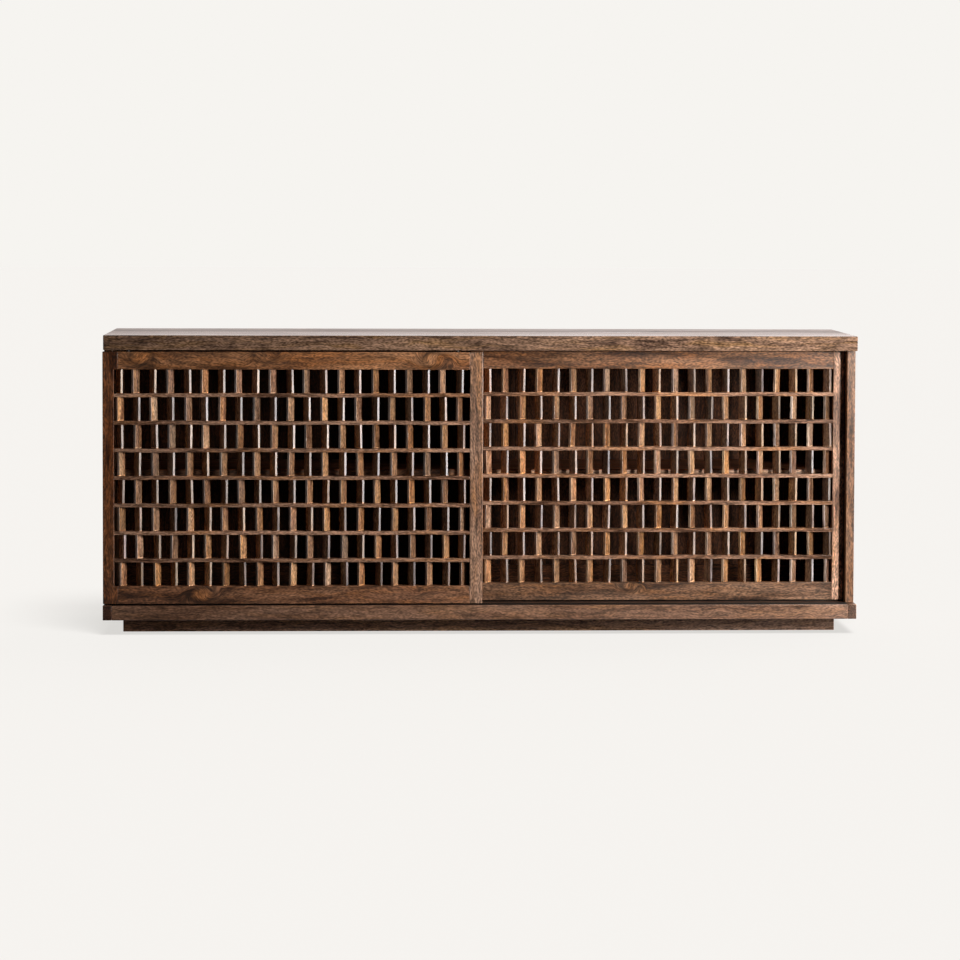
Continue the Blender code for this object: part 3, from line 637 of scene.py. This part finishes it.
def make_base():
    """Base slab: two long rails between end rails, and the floor boards inside."""
    left_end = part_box("base_side_rail_left")
    right_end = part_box("base_side_rail_right")
    for place in ("front", "back"):
        low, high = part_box(f"base_{place}_rail")
        low.x = left_end[1].x
        high.x = right_end[0].x
        board(f"base_{place}_board", low, high, "base_X", BASE_STAIN, "carcass",
              f"base_{place}_rail", top_painted_shade=BASE_TOP_PAINTED_SHADE)
    for end, (low, high) in (("left", left_end), ("right", right_end)):
        bm = bmesh.new()
        box_into(bm, low, high)
        ease(bm, bm.edges[:], BOARD_EASE)
        grain = tint(bm, BASE_SIDE_STAIN)
        tint(bm, BASE_END_STAIN[end], between=(-FAR, low.y + BOARD_EASE), seed=grain)
        piece_from(f"base_end_{end}", bm, [WOOD["frame_Y"]], "carcass",
                   [f"base_side_rail_{end}"])
    low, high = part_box("cabinet_floor")
    low.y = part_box("base_front_rail")[1].y
    high.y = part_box("base_back_rail")[0].y
    low.x = left_end[1].x
    high.x = right_end[0].x
    # Painted shade: the floor inside is stained darker, as shade falls there
    board("floor_board", low, high, "inner_X", INSIDE_STAIN_AND_PAINTED_SHADE["right"], "carcass",
          "cabinet_floor")


def make_shelf(end):
    """A shelf with a painted highlight on its front edge, up to just below its top."""
    low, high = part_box(f"shelf_{end}")
    highlight_top = high.z - SHELF_HIGHLIGHT_DROP
    bm = bmesh.new()
    box_into(bm, low, high)
    ease(bm, bm.edges[:], BOARD_EASE)
    cut(bm, (0, 0, highlight_top), (0, 0, 1))
    # Painted shade: the shelf is stained darker, as shade falls inside
    tint(bm, INSIDE_STAIN_AND_PAINTED_SHADE["right"])
    # Painted highlight on the front edge, brighter on the right, where the light falls
    tint(bm, SHELF_EDGE_PAINTED_HIGHLIGHT[end], between=(-FAR, low.y + BOARD_EASE), below=highlight_top)
    piece_from(f"shelf_board_{end}", bm, [WOOD["frame_X"]], "carcass", [f"shelf_{end}"])


def make_back():
    """Upright back boards that butt together, with painted shade on their inner faces."""
    low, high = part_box("back_panel")
    pitch = (high.x - low.x) / BACK_BOARDS
    bm = bmesh.new()
    for number in range(BACK_BOARDS):
        one = bmesh.new()
        box_into(one, (low.x + number * pitch, low.y, low.z), (low.x + (number + 1) * pitch, high.y, high.z))
        ease(one, one.edges[:], BACK_BOARD_EASE, steps=2)
        shade = chance.uniform(*BACK_BOARD_SHADES)
        tint(one, (shade, shade, shade))
        # Painted shade on the inner faces, darker on the left half, where less light comes in
        inside = INSIDE_STAIN_AND_PAINTED_SHADE["left" if number <= BACK_BOARDS // 2 else "right"]
        tint(one, [shade * part for part in inside], between=(-FAR, low.y + BACK_BOARD_EASE))
        join_into(bm, one)
    piece_from("back_boards", bm, [WOOD["inner_Z"]], "carcass", ["back_panel"])


def make_carcass():
    """Plinth, side panels, battens, shelves, divider, back boards and tracks."""
    # The plinth's stain holds painted light from the floor as well
    for part in ("plinth_front", "plinth_back"):
        carcass_board(f"{part}_board", part, "base_X", PLINTH_STAIN_AND_BOUNCE_LIGHT)
    for part in ("plinth_side_left", "plinth_side_right", "plinth_centre_brace"):
        carcass_board(f"{part}_board", part, "frame_Y", PLINTH_STAIN_AND_BOUNCE_LIGHT)
    for end in ("left", "right"):
        carcass_board(f"side_board_{end}", f"side_panel_{end}", "frame_Z", SIDE_STAIN)
        # Painted shade on the battens inside
        carcass_board(f"back_batten_board_{end}", f"back_batten_{end}", "inner_X", INSIDE_STAIN_AND_PAINTED_SHADE[end])
        make_shelf(end)
    # Painted shade on the divider inside
    carcass_board("divider_board", "centre_divider", "inner_Z", INSIDE_STAIN_AND_PAINTED_SHADE["right"])
    make_back()
    for track in ("bottom_track_front", "bottom_track_rear"):
        refinish(track, TRACK_STEEL)


def lattice_space(side):
    """Where a door's lattice lies between the rails and stiles, and the height of each of its rows."""
    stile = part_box(f"{side}_door_stile_left")
    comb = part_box(f"{side}_lattice_comb_1")
    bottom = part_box(f"{side}_door_rail_bottom")[1].z
    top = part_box(f"{side}_door_rail_top")[0].z
    return {
        "left": comb[0].x + CROSS_SLAT_STUB,
        "right": comb[1].x - CROSS_SLAT_STUB,
        "front": stile[0].y + LATTICE_SETBACK,
        "back": stile[1].y - LATTICE_SETBACK,
        "bottom": bottom,
        "top": top,
        "row": (top - bottom - (LATTICE_ROWS - 1) * CROSS_SLAT_THICKNESS) / LATTICE_ROWS,
    }


def make_rails(side):
    """The top and bottom rails of a door, the bottom one with pockets for the roller housings."""
    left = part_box(f"{side}_door_stile_left")[1].x
    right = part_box(f"{side}_door_stile_right")[0].x
    for level in ("top", "bottom"):
        node = f"{side}_door_rail_{level}"
        low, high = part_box(node)
        low.x = left
        high.x = right
        pockets = []
        if level == "bottom":
            for end in ("left", "right"):
                inner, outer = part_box(f"{side}_roller_housing_{end}")
                pockets.append(((inner.x - POCKET_ROOM, inner.y - POCKET_ROOM),
                                (outer.x + POCKET_ROOM, outer.y + POCKET_ROOM),
                                outer.z + POCKET_ROOM - low.z))
        board(f"{side}_{level}_rail", low, high, "frame_X", DOOR_STAINS[f"{side}_{level}_rail"],
              f"{side}_door", node, DOOR_FRAME_EASE, pockets)


def stepped_stile(name, low, high, space, stain, body, node):
    """A stile that is cut back beside the lattice and keeps its full width where it meets the rails."""
    outline = ((low.x, low.z), (high.x, low.z), (high.x, space["bottom"]), (space["left"], space["bottom"]),
               (space["left"], space["top"]), (high.x, space["top"]), (high.x, high.z), (low.x, high.z))
    bm = bmesh.new()
    face = bm.faces.new([bm.verts.new((x, low.y, z)) for x, z in outline])
    push_out(bm, [face], (0, high.y - low.y, 0))
    bmesh.ops.recalc_face_normals(bm, faces=bm.faces)
    ease(bm, bm.edges[:], DOOR_FRAME_EASE)
    tint(bm, stain)
    piece_from(name, bm, [WOOD["frame_Z"]], body, [node])


def make_stiles(side, space):
    """The left and right stiles of a door."""
    body = f"{side}_door"
    for end in ("left", "right"):
        node = f"{side}_door_stile_{end}"
        low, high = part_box(node)
        stain = DOOR_STAINS[f"{side}_stile_{end}"]
        if end == "left" and high.x - space["left"] > STILE_STEP:
            stepped_stile(f"{side}_stile_{end}", low, high, space, stain, body, node)
        else:
            board(f"{side}_stile_{end}", low, high, "frame_Z", stain, body, node,
                  DOOR_FRAME_EASE)


def cross_slat(name, low, high, stain, body, node):
    """A long thin slat across a door that wavers a little up and down."""
    bm = bmesh.new()
    box_into(bm, low, high)
    long_edges = [edge for edge in bm.edges if abs(edge.verts[0].co.x - edge.verts[1].co.x) > SLAT_DEPTH]
    bmesh.ops.subdivide_edges(bm, edges=long_edges, cuts=CROSS_SLAT_CUTS, use_grid_fill=True)
    phases = [chance.uniform(0.0, math.tau) for _ in CROSS_SLAT_WAVES]
    for vert in bm.verts:
        share = (vert.co.x - low.x) / (high.x - low.x)
        fade = min(1.0, share / CROSS_SLAT_TRUE_END, (1.0 - share) / CROSS_SLAT_TRUE_END)
        waves = sum(math.sin(phase + wave * share) for phase, wave in zip(phases, CROSS_SLAT_WAVES))
        vert.co.z += fade * CROSS_SLAT_WAVER * waves
    ease(bm, [edge for edge in bm.edges if edge.calc_face_angle(0.0) > CORNER], SLAT_EASE, steps=2)
    tint(bm, stain)
    piece_from(name, bm, [WOOD["slat_X"]], body, [node])


def make_cross_slats(side, space):
    """The cross slats between the rows of a door's lattice."""
    for number in range(1, LATTICE_ROWS):
        z_high = space["top"] - number * (space["row"] + CROSS_SLAT_THICKNESS) + CROSS_SLAT_THICKNESS
        low = Vector((space["left"], space["front"], z_high - CROSS_SLAT_THICKNESS))
        high = Vector((space["right"], space["back"], z_high))
        shade = chance.uniform(*CROSS_SLAT_SHADES)
        cross_slat(f"{side}_cross_slat_{number}", low, high, [shade * part for part in CROSS_SLAT_STAIN],
                   f"{side}_door", f"{side}_lattice_{'comb' if number % 2 else 'cross_slat'}_{number}")


def between_ends(shades, number):
    """The painted light on a slat in a row, from the painted light at the row's left and right ends."""
    left, right = shades
    return left + (right - left) * number / (SLATS_PER_ROW - 1)


def turned_slat(side, row, number, x, y, z, height):
    """An upright slat of a row, turned the other way from its neighbours, with its own stain and stray,
    painted light on its faces and edges, and a painted highlight on its foot.
    """
    half = Vector((SLAT_THICKNESS / 2, SLAT_DEPTH / 2, height / 2))
    foot_highlight_top = SLAT_FOOT_HIGHLIGHT_HEIGHT - height / 2
    slat = bmesh.new()
    box_into(slat, -half, half)
    ease(slat, slat.edges[:], SLAT_EASE, steps=1)
    cut(slat, (0, 0, foot_highlight_top), (0, 0, 1))

    turn = SLAT_TURN if (row + number) % 2 else -SLAT_TURN
    turn += chance.gauss(0.0, SLAT_TURN_STRAY)
    lean = chance.gauss(0.0, SLAT_LEAN_STRAY)
    stray = (row - TRUE_ROW[side]) * ROW_DRIFT[side] + chance.gauss(0.0, SLAT_STRAY)

    # A warmer slat loses blue and gains half as much red
    shade = chance.uniform(*SLAT_SHADES)
    warm = chance.uniform(*SLAT_WARMTHS)
    stain = Vector((shade * (1 + warm * 0.5), shade, shade * (1 - warm)))
    # Painted light and shade along the row on faces and edges, and on the edges painted light by the side
    # that they face
    face_stain_and_light = stain * SLAT_FACE_STAIN * between_ends(SLAT_FACE_PAINTED_LIGHT_ALONG_ROW[side], number)
    edge_stain_and_light = stain * SLAT_EDGE_STAIN_AND_PAINTED_LIGHT["right" if turn > 0 else "left"]
    edge_stain_and_light = edge_stain_and_light * between_ends(SLAT_EDGE_PAINTED_LIGHT_ALONG_ROW[side], number)
    tint(slat, face_stain_and_light)
    tint(slat, edge_stain_and_light, between=(-FAR, SLAT_EASE - half.y), finish=1)
    # Painted highlight: the foot of the slat is stained paler, where light catches it
    tint(slat, face_stain_and_light * chance.uniform(*SLAT_FOOT_PAINTED_HIGHLIGHT), below=foot_highlight_top)

    set_by_eye = Matrix.Rotation(lean, 4, "Y") @ Matrix.Rotation(turn, 4, "Z")
    slat.transform(Matrix.Translation((x + stray, y, z)) @ set_by_eye)
    return slat


def make_slat_rows(side, space):
    """The rows of upright slats in a door's lattice, two to each comb."""
    margin = LATTICE_MARGIN[side]
    pitch = (space["right"] - space["left"] - 2 * margin) / (SLATS_PER_ROW - 1)
    y = (space["front"] + space["back"]) / 2
    height = space["row"]
    for row in range(1, LATTICE_ROWS + 1):
        z = space["top"] - row * height - (row - 1) * CROSS_SLAT_THICKNESS + height / 2
        bm = bmesh.new()
        for number in range(SLATS_PER_ROW):
            x = space["left"] + margin + number * pitch
            join_into(bm, turned_slat(side, row, number, x, y, z, height))
        comb = row if row % 2 else row - 1
        piece_from(f"{side}_row_{row}_slats", bm, [WOOD["slat_Z"], WOOD["slat_edge_Z"]], f"{side}_door",
                   [f"{side}_lattice_comb_{comb}"])


def make_door(side):
    """A framed lattice door with its guide pins and rollers."""
    space = lattice_space(side)
    make_rails(side)
    make_stiles(side, space)
    make_cross_slats(side, space)
    make_slat_rows(side, space)
    for end in ("left", "right"):
        for part in ("guide_pin", "roller_wheel"):
            refinish(f"{side}_{part}_{end}", ROLLER_NYLON)
        for part in ("roller_housing", "roller_axle"):
            refinish(f"{side}_{part}_{end}", TRACK_STEEL)


def make_floor():
    """A wide floor of pale paper, which throws no light back on the cabinet."""
    bm = bmesh.new()
    bmesh.ops.create_circle(bm, cap_ends=True, segments=FLOOR_SIDES, radius=FLOOR_RADIUS)
    mesh = bpy.data.meshes.new("studio_floor")
    bm.to_mesh(mesh)
    bm.free()
    mesh.materials.append(pale_floor("Studio floor paper"))
    floor = bpy.data.objects.new("studio_floor", mesh)
    bpy.context.scene.collection.objects.link(floor)
    floor.visible_diffuse = False
    floor.visible_glossy = False
    return floor


def make_room():
    """The light of a dark room in front and a white backdrop behind, which is brighter to the right.

    The camera itself sees plain paper all round.
    """
    world = bpy.data.worlds.new("Studio")
    bpy.context.scene.world = world
    world.use_nodes = True
    tree = world.node_tree
    tree.nodes.clear()
    ray = add_node(tree, "LightPath")
    direction = add_node(tree, "SeparateXYZ", {0: add_node(tree, "TexCoord").outputs["Generated"]})
    # By direction: from the front to the back along Y, and from the left to the right along X
    backdrop = add_node(tree, "MapRange", {"Value": direction.outputs["Y"], 1: -0.1, 2: 0.5, 3: 0.03,
                                           4: 1.22}, interpolation_type="SMOOTHSTEP")
    rightward = add_node(tree, "MapRange", {"Value": direction.outputs["X"], 1: -0.53, 2: 0.53, 3: 0.1,
                                            4: 1.9})
    strength = add_node(tree, "Math", {0: backdrop.outputs[0], 1: rightward.outputs[0]}, operation="MULTIPLY")
    seen = add_node(tree, "Background", {"Color": linear(PAPER_WHITE), "Strength": 1.0})
    lighting = add_node(tree, "Background", {"Color": linear("#f8edea"), "Strength": strength.outputs[0]})
    either = add_node(tree, "MixShader", {0: ray.outputs["Is Camera Ray"], 1: lighting.outputs[0],
                                          2: seen.outputs[0]})
    add_node(tree, "OutputWorld", {"Surface": either.outputs[0]})


def soft_light(name, place, aim, width, height, power, colour):
    """A rectangular soft light that faces a point."""
    lamp = bpy.data.lights.new(name, "AREA")
    lamp.shape = "RECTANGLE"
    lamp.size = width
    lamp.size_y = height
    lamp.energy = power
    lamp.color = linear(colour)[:3]
    holder = bpy.data.objects.new(name, lamp)
    bpy.context.scene.collection.objects.link(holder)
    holder.location = place
    holder.rotation_euler = (Vector(aim) - Vector(place)).to_track_quat("-Z", "Y").to_euler()
    return holder


def light_only(lamp, objects, state):
    """Make a light reach only some objects, or all but them."""
    reached = bpy.data.collections.new(f"{lamp.name}_reach")
    for number, thing in enumerate(objects):
        reached.objects.link(thing)
        reached.collection_objects[number].light_linking.link_state = state
    lamp.light_linking.receiver_collection = reached


def make_lights(floor, top):
    """Two soft lights at the right, a faint glow at the left and a light for the floor alone."""
    # The key light comes in two halves, because its gloss would glare on the polished top from behind
    key = soft_light("key_light", **KEY_LIGHT)
    key.visible_glossy = False
    key_gloss = soft_light("key_light_gloss", **KEY_LIGHT)
    key_gloss.visible_diffuse = False
    strip = soft_light("strip_light", **STRIP_LIGHT)
    glow = soft_light("left_glow", **LEFT_GLOW)
    paper_light = bpy.data.lights.new("floor_light", "SUN")
    paper_light.energy = FLOOR_LIGHT_STRENGTH
    paper_light.angle = FLOOR_LIGHT_SPREAD
    paper = bpy.data.objects.new("floor_light", paper_light)
    bpy.context.scene.collection.objects.link(paper)
    paper.rotation_euler = Vector(FLOOR_LIGHT_DIRECTION).to_track_quat("-Z", "Y").to_euler()
    light_only(paper, [floor], "INCLUDE")
    for lamp in (key, strip, glow):
        light_only(lamp, [floor], "EXCLUDE")
    light_only(key_gloss, [floor, top], "EXCLUDE")


def make_camera():
    """A long lens some seven metres in front and a little to the left."""
    lens = bpy.data.cameras.new("camera")
    lens.lens = LENS_MM
    lens.sensor_width = SENSOR_MM
    lens.shift_y = LENS_SHIFT
    camera = bpy.data.objects.new("camera", lens)
    bpy.context.scene.collection.objects.link(camera)
    camera.location = CAMERA_PLACE
    turned = Matrix.Rotation(CAMERA_TURN, 4, "Z") @ Matrix.Rotation(CAMERA_TILT, 4, "X")
    camera.rotation_euler = (turned @ Matrix.Rotation(CAMERA_ROLL, 4, "Z")).to_euler()
    bpy.context.scene.camera = camera
    bpy.context.scene.view_settings.view_transform = "Standard"


top_board = make_top()
make_base()
make_carcass()
make_door("front")
make_door("rear")
studio_floor = make_floor()
make_room()
make_lights(studio_floor, top_board)
make_camera()
